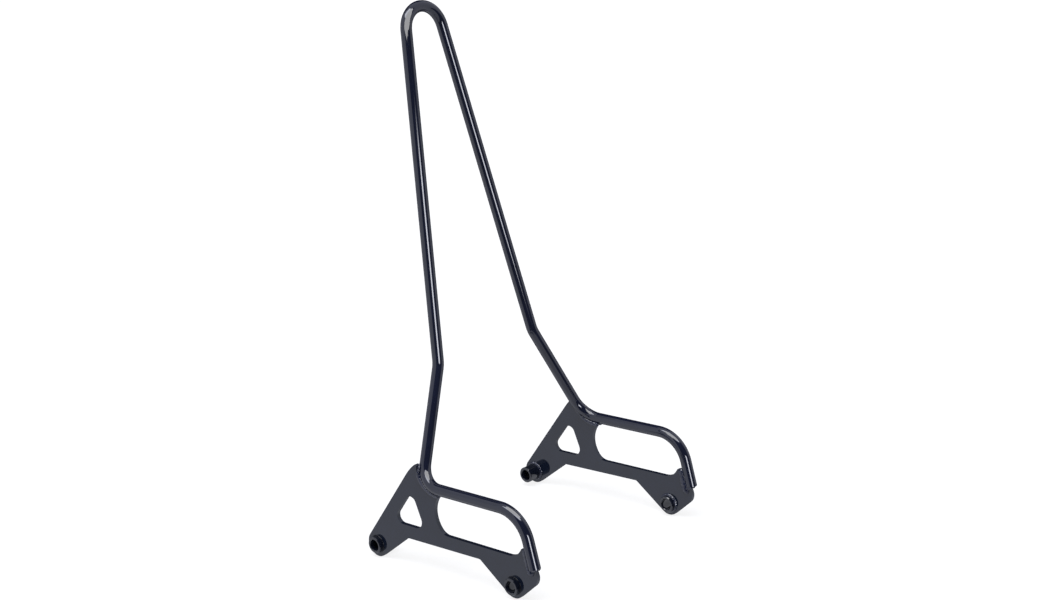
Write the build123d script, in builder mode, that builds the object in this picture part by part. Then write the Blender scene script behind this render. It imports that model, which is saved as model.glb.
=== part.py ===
from build123d import *
import os
from math import acos, atan2, cos, hypot, radians, sin, sqrt, tan

# A welded motorbike sissy bar: one bent round bar on two flat side plates with four bolt bushes.
# Millimetres. +X is the front of the bike, +Y its left side, +Z up.
# The origin is on the floor, under the middle of the part, which stands on its four rounded lobes.
# Reaches (forwards) and heights (upwards) are taken from the rear bolt axis, except top_height.

# Bar
bar_diameter = 12.7
bar_end_chamfer = 0.6
bar_offset = 1.5  # of the rails and feet, outwards from the plates' middle
top_height = 601.5  # floor to the top of the hairpin
hairpin_radius = 27.5  # bends are measured to the bar's centre line
lean_angle = 8.4  # upper legs, rearwards from the vertical
middle_bend_height = 202.5
middle_bend_reach = 64.0
middle_bend_half_width = 76.7
middle_bend_radius = 30.0
base_bend_height = 85.0
base_bend_reach = 82.2
base_bend_radius = 28.0
deck_slope = 0.8  # of the rail and the openings' lower edges, down towards the front
front_bend_radius = 37.0
foot_angle = 12.0  # forwards from straight down
foot_end_reach = 237.7
foot_end_height = 24.3

# Side plates
plates_outer_width = 270.0
plate_thickness = 4.76
bolt_spacing = 206.4
front_bolt_height = -0.6
rear_lobe_radius = 14.7
bottom_edge_height = 18.1
rear_edge_angle = 50.4
rear_lobe_angle = 35.2
front_slope_angle = 38.4
front_lobe_angle = 39.8
front_corner_reach = 33.8  # ahead of the front bolt axis
front_corner_radius = 13.0
rear_inner_radius = 5.0
front_inner_radius = 4.0
tip_start_height = 94.0  # where the rear edge starts to bend over into the tip
tip_height = 109.5
tip_reach = 76.5
tip_radius = 2.0
strap_width = 15.3  # between the rear edge and the triangle
triangle_floor_height = 34.0  # at the rear bolt axis
triangle_front_reach = 79.8
triangle_front_angle = 70.3
triangle_rear_radius = 8.0
triangle_front_radius = 9.0
triangle_top_radius = 8.0
opening_floor_height = 35.2  # at the rear bolt axis
opening_rear_reach = 97.7
opening_rear_height = 56.5
opening_rear_radius = 28.4
opening_corner_radius = 15.0
opening_front_reach = 203.0
opening_crest_reach = 221.2
opening_crest_height = 43.3
opening_tip_height = 44.9
root_gap = 0.1  # between a plate's edge and the bar, under the welds

# Bushes
bush_diameter = 19.05
bush_bore = 12.7
bush_outer_length = 5.7  # out of the plate's outer face
rear_bush_inner_length = 17.8  # out of the plate's inner face
front_bush_inner_length = 6.0
bush_fit_clearance = 0.1
bush_rim_chamfer = 0.8
bore_chamfer = 0.6

# Welds
bend_bead_radius = 2.8
bend_bead_end_radius = 2.2  # rounding of the bead's ends
bend_bead_stand_off = 0.9  # of the bead's middle from the plate's face
bend_bead_turns = (-4, 32, 66)  # degrees into the base bend
bend_bead_inset_share = 0.45  # how much of the bend's inward lean the outer bead follows
foot_bead_radius = 4.6
foot_bead_sink = 1.2  # of the bead's middle under the plate's face
foot_bead_setback = 3.5  # from the opening's front tip
foot_bead_extension = 3.0  # past the bar's end
end_bead_radius = 2.4
end_bead_reach = 1.5  # past the middle of the bar's end
outer_ring_leg = 1.0
inner_ring_leg = 2.4

# Worked out from the sizes above
bar_radius = bar_diameter / 2
seat_radius = bar_radius + root_gap
bush_radius = bush_diameter / 2
outer_face = plates_outer_width / 2
inner_face = outer_face - plate_thickness
plate_middle = outer_face - plate_thickness / 2
bar_middle = plate_middle + bar_offset
foot_rise = foot_angle + 90
front_end = foot_end_reach - bar_end_chamfer * sin(radians(foot_angle)) + bar_radius * cos(radians(foot_angle))
origin_reach = (front_end - rear_lobe_radius) / 2
front_bolt = Vector(bolt_spacing, front_bolt_height)
front_lobe_radius = rear_lobe_radius + front_bolt_height


def place(point, y):
    """A point of the plate's plane, given from the rear bolt axis, at y in the part's own frame."""
    return Vector(point.X - origin_reach, y, point.Y + rear_lobe_radius)


def heading(angle):
    """A unit step in the plate's plane, angle degrees above straight ahead."""
    return Vector(cos(radians(angle)), sin(radians(angle)))


def meet(first, first_angle, second, second_angle):
    """Where the line through first at first_angle crosses the line through second at second_angle."""
    across = heading(second_angle + 90)
    run = (second - first).dot(across) / heading(first_angle).dot(across)
    return first + heading(first_angle) * run


def reach_circle(start, angle, middle, radius):
    """The far point where the line through start at this angle crosses a circle."""
    offset = start - middle
    along = offset.dot(heading(angle))
    return start + heading(angle) * (sqrt(radius**2 - offset.dot(offset) + along**2) - along)


# Bar: straight runs between corners, each corner rounded to its bend radius
lean = radians(lean_angle)
hairpin_rise = top_height - rear_lobe_radius - bar_radius - middle_bend_height
hairpin_middle = hairpin_rise / cos(lean) - hairpin_radius
leg_splay = acos(hairpin_radius / hypot(middle_bend_half_width, hairpin_middle))
leg_splay -= atan2(hairpin_middle, middle_bend_half_width)
apex_run = middle_bend_half_width / tan(leg_splay)
middle_bend = Vector(middle_bend_reach, middle_bend_height)
base_bend = Vector(base_bend_reach, base_bend_height)
foot_end = Vector(foot_end_reach, foot_end_height)
front_bend = meet(base_bend, -deck_slope, foot_end, foot_rise)
apex = place(middle_bend + heading(90 + lean_angle) * apex_run, 0)
right_corners = [
    place(foot_end, -bar_middle),
    place(front_bend, -bar_middle),
    place(base_bend, -bar_middle),
    place(middle_bend, -middle_bend_half_width),
]
left_corners = [Vector(corner.X, -corner.Y, corner.Z) for corner in reversed(right_corners)]
right_bends = [front_bend_radius, base_bend_radius, middle_bend_radius]
bends = [*right_bends, hairpin_radius, *reversed(right_bends)]

with BuildPart() as hoop:
    with BuildLine() as bar_line:
        FilletPolyline(*right_corners, apex, *left_corners, radius=bends)
    with BuildSketch(Plane(bar_line.line @ 0, z_dir=bar_line.line % 0)):
        Circle(bar_radius)
    sweep(path=bar_line.line)
    chamfer(hoop.faces().filter_by(GeomType.PLANE).edges(), bar_end_chamfer)

# Seat of the base bend on the plate: the bend leans inwards as it rises
rail_run = (right_corners[2] - right_corners[1]).normalized()
leg_run = (right_corners[3] - right_corners[2]).normalized()
bend_side = (leg_run - rail_run * rail_run.dot(leg_run)).normalized()
bend_start = right_corners[2] - rail_run * (base_bend_radius * tan(acos(rail_run.dot(leg_run)) / 2))


def bend_point(turn):
    """The bar's centre line, turn degrees into the base bend."""
    angle = radians(turn)
    return bend_start + (rail_run * sin(angle) + bend_side * (1 - cos(angle))) * base_bend_radius


def seat_point(turn):
    """The bar's lower rear side in the plate's plane, turn degrees into the base bend."""
    run = rail_run * cos(radians(turn)) + bend_side * sin(radians(turn))
    outward = Vector(-run.Z, run.X).normalized()
    middle = bend_point(turn)
    return Vector(middle.X + origin_reach, middle.Z - rear_lobe_radius) + outward * seat_radius


def seat_inset(turn):
    """How far inwards of its rail the bar lies, turn degrees into the base bend."""
    return bend_point(turn).Y + bar_middle


# Plate outline
seat = [seat_point(turn) for turn in (0, 34, 66)]
rear_edge_start = heading(rear_edge_angle + 90) * rear_lobe_radius
rear_lobe_end = heading(rear_lobe_angle - 90) * rear_lobe_radius
front_lobe_start = front_bolt + heading(270 - front_slope_angle) * front_lobe_radius
front_lobe_end = front_bolt + heading(front_lobe_angle - 90) * front_lobe_radius
bottom_edge = Vector(0, bottom_edge_height)
rear_inner_corner = meet(rear_lobe_end, rear_lobe_angle, bottom_edge, 0)
front_inner_corner = meet(front_lobe_start, -front_slope_angle, bottom_edge, 0)
tip_start = meet(rear_edge_start, rear_edge_angle, Vector(0, tip_start_height), 0)
tip = Vector(tip_reach, tip_height)

# Front corner, tangent to the edge from the front lobe and stopped by the bar's end
corner_middle = meet(
    front_lobe_end - heading(front_lobe_angle - 90) * front_corner_radius,
    front_lobe_angle,
    front_bolt + Vector(front_corner_reach - front_corner_radius, 0),
    90,
)
corner_start = corner_middle + heading(front_lobe_angle - 90) * front_corner_radius
corner_front = corner_middle + Vector(front_corner_radius, 0)
end_middle = foot_end - heading(foot_rise) * root_gap
end_rear = end_middle - heading(foot_angle) * seat_radius
corner_end = reach_circle(end_rear, foot_angle, corner_middle, front_corner_radius)
foot_top = meet(end_rear, foot_rise, seat[0], -deck_slope)

# Large opening, which the bar closes from above
opening_middle = Vector(opening_rear_reach + opening_rear_radius, opening_rear_height)
opening_floor = Vector(0, opening_floor_height)
opening_front = meet(opening_floor, -deck_slope, Vector(opening_front_reach, 0), 90)
opening_rear = reach_circle(opening_front, 180 - deck_slope, opening_middle, opening_rear_radius)
opening_top = opening_middle + heading(125) * opening_rear_radius
opening_crest = Vector(opening_crest_reach, opening_crest_height)
foot_tip = meet(end_rear, foot_rise, Vector(0, opening_tip_height), 0)

# Triangle
triangle_floor = Vector(0, triangle_floor_height)
triangle_edge = heading(rear_edge_angle + 90) * (rear_lobe_radius - strap_width)
triangle_rear = meet(triangle_edge, rear_edge_angle, triangle_floor, -deck_slope)
triangle_front = meet(triangle_floor, -deck_slope, Vector(triangle_front_reach, 0), 90)
triangle_top = meet(triangle_edge, rear_edge_angle, triangle_front, 180 - triangle_front_angle)

plate_plane = Plane(place(Vector(0, 0), -inner_face), x_dir=(1, 0, 0), z_dir=(0, -1, 0))


def round_corners(sketch, corners):
    """Rounds the sketch's corner nearest to each point, to the radius paired with it."""
    for corner, radius in corners.items():
        nearest = sketch.vertices().sort_by_distance(corner)[0]
        fillet(nearest, radius)


with BuildPart() as right_plate:
    with BuildSketch(plate_plane) as outline:
        with BuildLine():
            ThreePointArc(rear_edge_start, heading(225) * rear_lobe_radius, rear_lobe_end)
            Polyline(rear_lobe_end, rear_inner_corner, front_inner_corner, front_lobe_start)
            ThreePointArc(front_lobe_start, front_bolt - Vector(0, front_lobe_radius), front_lobe_end)
            Line(front_lobe_end, corner_start)
            ThreePointArc(corner_start, corner_front, corner_end)
            Polyline(corner_end, end_rear, foot_top, seat[0])
            ThreePointArc(*seat)
            Line(seat[2], tip)
            TangentArc(tip_start, tip, tangent=heading(rear_edge_angle))
            Line(tip_start, rear_edge_start)
        make_face()
        round_corners(outline, {
            rear_inner_corner: rear_inner_radius,
            front_inner_corner: front_inner_radius,
            tip: tip_radius,
        })
        with Locations((0, 0), front_bolt):
            Circle(bush_radius + bush_fit_clearance / 2, mode=Mode.SUBTRACT)
    extrude(amount=plate_thickness)
    with BuildSketch(plate_plane) as opening:
        with BuildLine():
            ThreePointArc(opening_rear, Vector(opening_rear_reach, opening_rear_height), opening_top)
            Line(opening_rear, opening_front)
            TangentArc(opening_front, opening_crest, tangent=heading(-deck_slope))
            Polyline(opening_crest, foot_tip, front_bend, opening_top)
        make_face()
        round_corners(opening, {opening_rear: opening_corner_radius})
    extrude(amount=plate_thickness, mode=Mode.SUBTRACT)
    with BuildSketch(plate_plane) as triangle:
        with BuildLine():
            Polyline(triangle_rear, triangle_front, triangle_top, close=True)
        make_face()
        round_corners(triangle, {
            triangle_rear: triangle_rear_radius,
            triangle_front: triangle_front_radius,
            triangle_top: triangle_top_radius,
        })
    extrude(amount=plate_thickness, mode=Mode.SUBTRACT)


def bush(bolt, inner_length):
    """A plain turned tube through the plate, with both rims and both bore mouths chamfered."""
    with BuildPart() as tube:
        start = place(bolt, inner_length - inner_face)
        with BuildSketch(Plane(start, x_dir=(1, 0, 0), z_dir=(0, -1, 0))):
            Circle(bush_radius)
            Circle(bush_bore / 2, mode=Mode.SUBTRACT)
        extrude(amount=inner_length + plate_thickness + bush_outer_length)
        mouths = tube.edges().filter_by(GeomType.CIRCLE).group_by(SortBy.RADIUS)[0]
        chamfer(mouths, bore_chamfer)
        rims = tube.edges().filter_by(GeomType.CIRCLE).group_by(SortBy.RADIUS)[-1]
        chamfer(rims, bush_rim_chamfer)
    return tube.part


def ring_weld(bolt, face, direction, leg):
    """A fillet weld around a bush, on one face of the plate, facing in the direction given."""
    with BuildPart() as ring:
        middle = place(bolt, -face)
        with BuildSketch(Plane(middle, x_dir=(1, 0, 0), z_dir=(0, 0, 1))):
            with BuildLine():
                toe = Vector(bush_radius + leg, 0)
                root = Vector(bush_radius, 0)
                top = Vector(bush_radius, direction * leg)
                Polyline(toe, root, top)
                ThreePointArc(top, Vector(bush_radius + 0.6 * leg, direction * 0.6 * leg), toe)
            make_face()
        revolve(axis=Axis(middle, (0, 1, 0)))
    return ring.part


def bend_weld(points, neighbours):
    """A round-ended bead along an arc through three points, cut back to the pieces that it joins."""
    with BuildPart() as bead:
        with BuildLine() as seam:
            ThreePointArc(*points)
        with BuildSketch(Plane(seam.line @ 0, z_dir=seam.line % 0)):
            Circle(bend_bead_radius)
        sweep(path=seam.line)
        fillet(bead.faces().filter_by(GeomType.PLANE).edges(), bend_bead_end_radius)
        for neighbour in neighbours:
            add(neighbour, mode=Mode.SUBTRACT)
    return bead.part


outer_bead_y = -outer_face - bend_bead_stand_off
inner_bead_y = -inner_face + bend_bead_stand_off
outer_seam = [
    place(seat_point(turn), outer_bead_y + bend_bead_inset_share * seat_inset(turn))
    for turn in bend_bead_turns
]
inner_seam = [place(seat_point(turn), inner_bead_y) for turn in bend_bead_turns]
bend_outer_weld = bend_weld(outer_seam, [right_plate.part, hoop.part])
bend_inner_weld = bend_weld(inner_seam, [right_plate.part, hoop.part, bend_outer_weld])



def foot_weld(face, direction):
    """A wide bead up the bar's rear side and a small one under its end, on one face of the plate."""
    sunk = -face - direction * foot_bead_sink
    foot_bead_start = place(foot_tip - heading(foot_rise) * foot_bead_setback, sunk)
    foot_bead_end = place(end_rear - heading(foot_rise) * foot_bead_extension, sunk)
    end_bead_start = place(end_rear, -face)
    end_bead_end = place(end_middle + heading(foot_angle) * end_bead_reach, -face)
    beads = (
        (foot_bead_start, foot_bead_end, foot_bead_radius),
        (end_bead_start, end_bead_end, end_bead_radius),
    )
    with BuildPart() as weld:
        for start, end, radius in beads:
            with BuildSketch(Plane(start, z_dir=end - start)):
                Circle(radius)
            extrude(amount=(end - start).length)
            with Locations(start, end):
                Sphere(radius)
        split(bisect_by=Plane((0, -face, 0), z_dir=(0, direction, 0)), keep=Keep.TOP)
        add(hoop.part, mode=Mode.SUBTRACT)
    return weld.part


rear_bolt = Vector(0, 0)
right_pieces = {
    "side_plate": right_plate.part,
    "rear_bush": bush(rear_bolt, rear_bush_inner_length),
    "front_bush": bush(front_bolt, front_bush_inner_length),
    "rear_bush_outer_weld": ring_weld(rear_bolt, outer_face, -1, outer_ring_leg),
    "rear_bush_inner_weld": ring_weld(rear_bolt, inner_face, 1, inner_ring_leg),
    "front_bush_outer_weld": ring_weld(front_bolt, outer_face, -1, outer_ring_leg),
    "front_bush_inner_weld": ring_weld(front_bolt, inner_face, 1, inner_ring_leg),
    "base_bend_outer_weld": bend_outer_weld,
    "base_bend_inner_weld": bend_inner_weld,
    "foot_outer_weld": foot_weld(outer_face, -1),
    "foot_inner_weld": foot_weld(inner_face, 1),
}

os.makedirs("parts", exist_ok=True)
hoop.part.label = "hoop"
export_step(hoop.part, "parts/hoop.step")
for name, piece in right_pieces.items():
    piece.label = "right_" + name
    export_step(piece, f"parts/right_{name}.step")
    with BuildPart() as left_piece:
        mirror(piece, about=Plane.XZ)
    left_piece.part.label = "left_" + name
    export_step(left_piece.part, f"parts/left_{name}.step")
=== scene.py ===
import math

import bmesh
import bpy
from mathutils import Matrix, Vector, noise


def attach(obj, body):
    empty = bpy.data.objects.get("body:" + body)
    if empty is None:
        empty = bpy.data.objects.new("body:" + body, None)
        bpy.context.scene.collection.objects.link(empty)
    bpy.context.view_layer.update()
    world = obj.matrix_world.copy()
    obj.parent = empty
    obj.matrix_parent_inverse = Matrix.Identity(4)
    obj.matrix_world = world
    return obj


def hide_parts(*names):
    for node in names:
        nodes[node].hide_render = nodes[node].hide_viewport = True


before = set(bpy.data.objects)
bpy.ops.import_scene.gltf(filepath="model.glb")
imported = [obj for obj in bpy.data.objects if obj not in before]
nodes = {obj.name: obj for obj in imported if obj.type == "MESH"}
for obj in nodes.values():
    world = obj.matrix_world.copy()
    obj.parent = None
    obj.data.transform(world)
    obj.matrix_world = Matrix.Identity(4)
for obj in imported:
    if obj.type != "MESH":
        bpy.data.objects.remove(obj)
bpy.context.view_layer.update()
scene = bpy.context.scene
scene.view_settings.view_transform = "Standard"


# Materials

def paint(name, colour, grain, roughness, peel, specks, shine=0.5):
    """Gloss enamel: a deep base colour with faint clouds, a fine orange peel and a few tiny specks."""
    mat = bpy.data.materials.new(name)
    mat.use_nodes = True
    tree = mat.node_tree
    bsdf = tree.nodes["Principled BSDF"]
    bsdf.inputs["IOR"].default_value = 1.5
    bsdf.inputs["Specular IOR Level"].default_value = shine
    where = tree.nodes.new("ShaderNodeTexCoord")

    clouds = tree.nodes.new("ShaderNodeTexNoise")
    clouds.inputs["Scale"].default_value = grain
    clouds.inputs["Detail"].default_value = 4.0
    shade = tree.nodes.new("ShaderNodeValToRGB")
    shade.color_ramp.elements[0].position = 0.3
    shade.color_ramp.elements[1].position = 0.7
    shade.color_ramp.elements[0].color = (*[c * 0.86 for c in colour], 1)
    shade.color_ramp.elements[1].color = (*[c * 1.14 for c in colour], 1)

    rough = tree.nodes.new("ShaderNodeMapRange")
    rough.inputs["To Min"].default_value = roughness * 0.8
    rough.inputs["To Max"].default_value = roughness * 1.25

    fine = tree.nodes.new("ShaderNodeTexNoise")
    fine.inputs["Scale"].default_value = 420.0
    fine.inputs["Detail"].default_value = 2.0
    dust = tree.nodes.new("ShaderNodeTexVoronoi")
    dust.inputs["Scale"].default_value = specks
    dot = tree.nodes.new("ShaderNodeMapRange")
    dot.inputs["From Min"].default_value = 0.02
    dot.inputs["From Max"].default_value = 0.06
    dot.inputs["To Min"].default_value = 1.0
    dot.inputs["To Max"].default_value = 0.0
    height = tree.nodes.new("ShaderNodeMath")
    height.operation = "ADD"
    bump = tree.nodes.new("ShaderNodeBump")
    bump.inputs["Strength"].default_value = peel
    bump.inputs["Distance"].default_value = 0.0002

    link = tree.links.new
    link(where.outputs["Object"], clouds.inputs["Vector"])
    link(where.outputs["Object"], fine.inputs["Vector"])
    link(where.outputs["Object"], dust.inputs["Vector"])
    link(clouds.outputs["Fac"], shade.inputs["Fac"])
    link(shade.outputs["Color"], bsdf.inputs["Base Color"])
    link(clouds.outputs["Fac"], rough.inputs["Value"])
    link(rough.outputs["Result"], bsdf.inputs["Roughness"])
    link(dust.outputs["Distance"], dot.inputs["Value"])
    link(fine.outputs["Fac"], height.inputs[0])
    link(dot.outputs["Result"], height.inputs[1])
    link(height.outputs["Value"], bump.inputs["Height"])
    link(bump.outputs["Normal"], bsdf.inputs["Normal"])
    return mat


bar_paint = paint("bar_gloss_black", (0.0046, 0.0058, 0.0132), 60.0, 0.035, 0.006, 160.0)
plate_paint = paint("plate_gloss_black", (0.0040, 0.0060, 0.0125), 45.0, 0.05, 0.012, 160.0, 0.45)
# The bushes take the same gloss black darkened a little: painted shade on their sides.
bush_shaded_paint = paint("bush_gloss_black_painted_shade", (0.0030, 0.0038, 0.0072), 90.0, 0.06, 0.02, 200.0, 0.6)
weld_paint = paint("weld_gloss_black", (0.0060, 0.0080, 0.0190), 150.0, 0.08, 0.04, 220.0)
# The outer beads of the bushes take a darker, duller copy of the bush paint: painted shade that keeps
# their concave fillets from mirroring the bright wall.
ring_shade_paint = paint("ring_painted_shade_black", (0.0026, 0.0030, 0.0050), 150.0, 0.10, 0.05, 220.0, 0.12)


FINISHES = (
    ("bush_outer_weld", ring_shade_paint),
    ("weld", weld_paint),
    ("bush", bush_shaded_paint),
    ("plate", plate_paint),
)


def kind(name):
    """The finish that a node takes, by the end of its name."""
    for ending, mat in FINISHES:
        if name.endswith(ending):
            return mat
    return bar_paint


for name, obj in nodes.items():
    obj.data.materials.clear()
    obj.data.materials.append(kind(name))


# Weld beads with ripples, in place of the smooth ones

RIPPLE_PITCH = 0.0020
BEND_MIDDLE = (-0.0079, 0.1245)  # of the base bend's arc, seen from the side: x, z
BEND_BEAD_RADIUS = 0.0345
BOLTS = {"rear": (-0.114543, 0.0147), "front": (0.091857, 0.0141)}  # x, z
RING_BEAD_RADIUS = 0.0108
FOOT_LEAN = math.radians(12)
FOOT_RUN = (math.sin(FOOT_LEAN), -math.cos(FOOT_LEAN))
RIPPLE_DEPTH = 0.00034
FINE_RIPPLE_DEPTH = 0.00012  # on the outer beads of the bushes and the base bends, which look smooth
RIPPLE_WANDER = 0.0016  # how far the ripples stray along the seam
BEAD_GRAIN = 0.00036  # voxel size of the beads
RING_GRAIN = 0.00022  # voxel size of the outer beads of the bushes
# The outer bead's upper end, which closes the corner between the plate's tip and the bar
TIP_FILL = (  # x, distance from the middle plane, z
    (-0.0379, 0.1340, 0.1132),
    (-0.0373, 0.1332, 0.1160),
    (-0.0371, 0.1322, 0.1186),
    (-0.0377, 0.1312, 0.1208),
)
TIP_FILL_RADIUS = 0.0019


def along_seam(name, point):
    """How far along its seam a point of a bead lies, in metres."""
    if "foot" in name:
        return point.x * FOOT_RUN[0] + point.z * FOOT_RUN[1]
    middle, radius = BEND_MIDDLE, BEND_BEAD_RADIUS
    for bolt in BOLTS:
        if bolt in name:
            middle, radius = BOLTS[bolt], RING_BEAD_RADIUS
    return math.atan2(point.z - middle[1], point.x - middle[0]) * radius


def ripple(name, point):
    """The height of the ripples at a point: overlapping scales along the seam, with uneven lumps."""
    smooth = "bush_outer" in name or "bend_outer" in name
    depth = FINE_RIPPLE_DEPTH if smooth else RIPPLE_DEPTH
    shift = noise.noise(point * 240) * RIPPLE_WANDER
    phase = ((along_seam(name, point) + shift) / RIPPLE_PITCH) % 1.0
    scale = math.sqrt(1 - phase) - 0.6
    return (scale + 1.5 * noise.noise(point * 380)) * depth


def rippled_bead(name):
    """A weld bead with ripples, made from the smooth bead of that name."""
    node = nodes[name]
    form = bmesh.new()
    form.from_mesh(node.data)
    form.transform(node.matrix_world)
    if name.endswith("bend_outer_weld"):
        side = -1 if name.startswith("right") else 1
        for x, y, z in TIP_FILL:
            bmesh.ops.create_icosphere(
                form, subdivisions=3, radius=TIP_FILL_RADIUS, matrix=Matrix.Translation((x, side * y, z))
            )
    rough = bpy.data.objects.new(name + "_rough", bpy.data.meshes.new(name + "_rough"))
    form.to_mesh(rough.data)
    form.free()
    scene.collection.objects.link(rough)
    remesh = rough.modifiers.new("remesh", "REMESH")
    remesh.mode = "VOXEL"
    remesh.voxel_size = RING_GRAIN if "bush_outer" in name else BEAD_GRAIN
    remesh.use_smooth_shade = True
    shaped = rough.evaluated_get(bpy.context.evaluated_depsgraph_get())
    mesh = bpy.data.meshes.new_from_object(shaped)
    bpy.data.objects.remove(rough)
    mesh.name = name + "_rippled"
    steps = [v.normal * ripple(name, v.co) for v in mesh.vertices]
    for vertex, step in zip(mesh.vertices, steps):
        vertex.co += step
    mesh.materials.clear()
    mesh.materials.append(kind(name))
    obj = bpy.data.objects.new(name + "_rippled", mesh)
    scene.collection.objects.link(obj)
    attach(obj, "root")
    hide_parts(name)


for name in nodes:
    if name.endswith("weld"):
        rippled_bead(name)


# Floor, light and camera

def pale_matt(name, grey, glow):
    """Matt grey that also glows evenly, so that shadows on it stay faint."""
    mat = bpy.data.materials.new(name)
    mat.use_nodes = True
    mat.cycles.emission_sampling = "NONE"
    bsdf = mat.node_tree.nodes["Principled BSDF"]
    bsdf.inputs["Base Color"].default_value = (grey, grey, grey, 1)
    bsdf.inputs["Roughness"].default_value = 0.9
    bsdf.inputs["Specular IOR Level"].default_value = 0.0
    bsdf.inputs["Emission Color"].default_value = (1, 1, 1, 1)
    bsdf.inputs["Emission Strength"].default_value = glow
    return mat


def flat_sheet(name, corners, mat):
    """A flat piece of the studio, with one face."""
    mesh = bpy.data.meshes.new(name)
    mesh.from_pydata([Vector(c) for c in corners], [], [tuple(range(len(corners)))])
    mesh.materials.append(mat)
    obj = bpy.data.objects.new(name, mesh)
    scene.collection.objects.link(obj)
    return obj


FLOOR_REACH = 90
floor_corners = [(x * FLOOR_REACH, y * FLOOR_REACH, 0) for x, y in ((-1, -1), (1, -1), (1, 1), (-1, 1))]
floor = flat_sheet("floor", floor_corners, pale_matt("pale_floor", 0.12, 0.85))
floor.visible_glossy = False

# A soft box close above, on the camera's side, that shows only in reflections.
# The top of the bar mirrors it low down, the other pieces only overhead
BOX_OVER = (-0.101, -0.025, 0.733)
BOX_RIM = (  # compass direction, distance
    (8, 0.072),
    (8, 0.55),
    (35, 0.53),
    (63, 0.52),
    (90, 0.56),
    (118, 0.62),
    (118, 0.072),
)
box_x, box_y, box_height = BOX_OVER
box_corners = []
for bearing, reach in BOX_RIM:
    turn = math.radians(bearing)
    box_corners.append((box_x + reach * math.sin(turn), box_y - reach * math.cos(turn), box_height))
box = flat_sheet("soft_box", box_corners, pale_matt("soft_box_glow", 0.8, 7.0))
box.visible_camera = False
box.visible_diffuse = False
box.visible_shadow = False

# A studio of soft panels, told apart by compass direction and height
world = bpy.data.worlds.new("studio")
scene.world = world
world.use_nodes = True
sky = world.node_tree


def maths(tree, operation, first, second=None):
    """One maths node. Each input is a socket or a plain number."""
    node = tree.nodes.new("ShaderNodeMath")
    node.operation = operation
    for socket, value in zip(node.inputs, (first, second)):
        if value is None:
            continue
        if isinstance(value, (int, float)):
            socket.default_value = value
        else:
            tree.links.new(value, socket)
    return node.outputs["Value"]


def smooth_step(tree, value, start, end):
    """0 before start, 1 after end, smooth between them."""
    node = tree.nodes.new("ShaderNodeMapRange")
    node.interpolation_type = "SMOOTHSTEP"
    tree.links.new(value, node.inputs["Value"])
    node.inputs["From Min"].default_value = start
    node.inputs["From Max"].default_value = end
    return node.outputs["Result"]


WALL = 0.94  # brightness where no panel is
NORTH = 43  # the compass runs 180 degrees each way from here: 0 is the bike's right side, 90 its front
COOL_WHITE = (0.96, 0.985, 1.09, 1)
PANELS = (  # compass from and to, height from and to, softness of the edges, brightness
    (-44, 7, -60, 52, 8, 1.12),  # the brighter part of the left wall
    (7, 122, -27, 52, 7, 0.05),  # the dark side towards the camera
    (160, 240, -50, 12, 30, 0.4),  # the dim back, on both sides of the compass's seam
    (-160, -85, -50, 12, 30, 0.4),
    (190, 250, -50, 12, 30, 0.12),
    (-170, -104, -50, 12, 30, 0.12),
    (192, 250, 8, 58, 8, 0.03),  # the dark upper back
    (-170, -86, 8, 58, 8, 0.03),
    (-50, 98, 55, 100, 3, 10.0),  # the light overhead
    (59, 77, -7.5, 13.8, 3, 15.0),  # the strip of light beside the camera
)
direction = sky.nodes.new("ShaderNodeTexCoord").outputs["Generated"]
axes = sky.nodes.new("ShaderNodeSeparateXYZ")
sky.links.new(direction, axes.inputs["Vector"])
north_cos = math.cos(math.radians(NORTH))
north_sin = math.sin(math.radians(NORTH))
x_cos = maths(sky, "MULTIPLY", axes.outputs["X"], north_cos)
x_sin = maths(sky, "MULTIPLY", axes.outputs["X"], north_sin)
y_cos = maths(sky, "MULTIPLY", axes.outputs["Y"], north_cos)
y_sin = maths(sky, "MULTIPLY", axes.outputs["Y"], north_sin)
across = maths(sky, "ADD", x_cos, y_sin)
along = maths(sky, "SUBTRACT", x_sin, y_cos)
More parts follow.
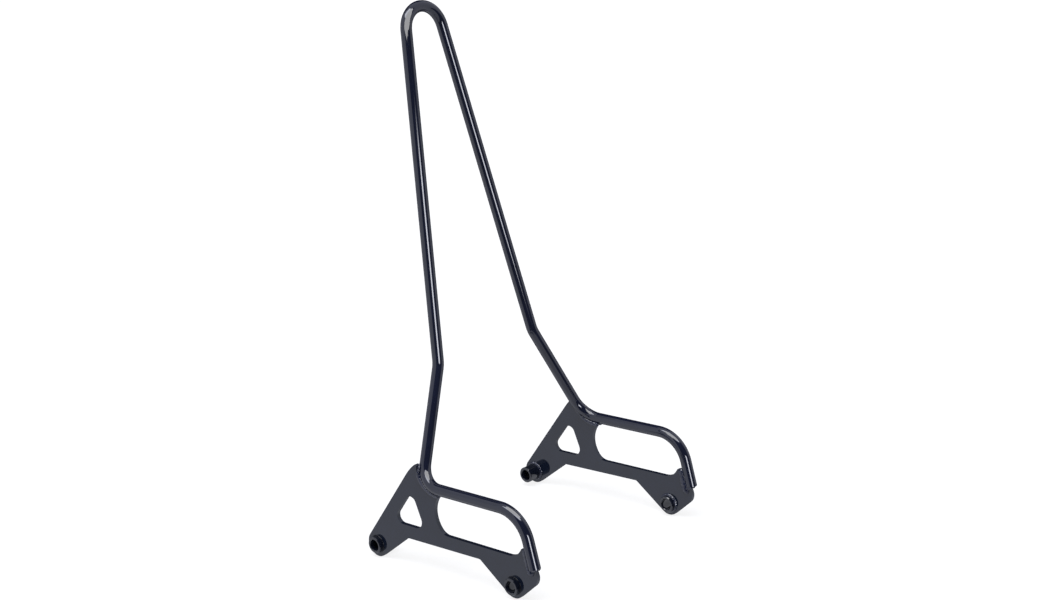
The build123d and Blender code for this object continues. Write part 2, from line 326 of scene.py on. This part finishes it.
compass = maths(sky, "MULTIPLY", maths(sky, "ARCTAN2", across, along), 180 / math.pi)
height = maths(sky, "MULTIPLY", maths(sky, "ARCSINE", axes.outputs["Z"]), 180 / math.pi)
level = WALL
for start, end, low, high, soft, bright in PANELS:
    mask = 1.0
    for value, first, last in ((compass, start - NORTH, end - NORTH), (height, low, high)):
        rise = smooth_step(sky, value, first - soft / 2, first + soft / 2)
        fall = maths(sky, "SUBTRACT", 1.0, smooth_step(sky, value, last - soft / 2, last + soft / 2))
        mask = maths(sky, "MULTIPLY", mask, maths(sky, "MULTIPLY", rise, fall))
    step = maths(sky, "SUBTRACT", bright, level)
    level = maths(sky, "ADD", level, maths(sky, "MULTIPLY", mask, step))
light_path = sky.nodes.new("ShaderNodeLightPath")
backdrop = maths(sky, "MULTIPLY", light_path.outputs["Is Camera Ray"], maths(sky, "SUBTRACT", 1.0, level))
sky.links.new(maths(sky, "ADD", level, backdrop), sky.nodes["Background"].inputs["Strength"])
sky.nodes["Background"].inputs["Color"].default_value = COOL_WHITE

# The camera, as fitted to the photograph
CAMERA_PLACE = (1.171507, -1.23544, 0.7032)
CAMERA_TURN = (43.065, 14.098, 4.625)  # yaw, pitch, roll
FOCAL_PIXELS = 1609.8
PHOTO_PIXELS = 1054  # the photograph's width
yaw, pitch, roll = (math.radians(a) for a in CAMERA_TURN)
back = Vector((math.sin(yaw) * math.cos(pitch), -math.cos(yaw) * math.cos(pitch), math.sin(pitch)))
right = (-back).cross(Vector((0, 0, 1))).normalized()
up = back.cross(right)
turned_right = right * math.cos(roll) - up * math.sin(roll)
turned_up = right * math.sin(roll) + up * math.cos(roll)
lens = bpy.data.cameras.new("camera")
lens.sensor_width = 36.0
lens.lens = lens.sensor_width * FOCAL_PIXELS / PHOTO_PIXELS
camera = bpy.data.objects.new("camera", lens)
turn = Matrix((turned_right, turned_up, back)).transposed()
camera.matrix_world = Matrix.Translation(CAMERA_PLACE) @ turn.to_4x4()
scene.collection.objects.link(camera)
scene.camera = camera
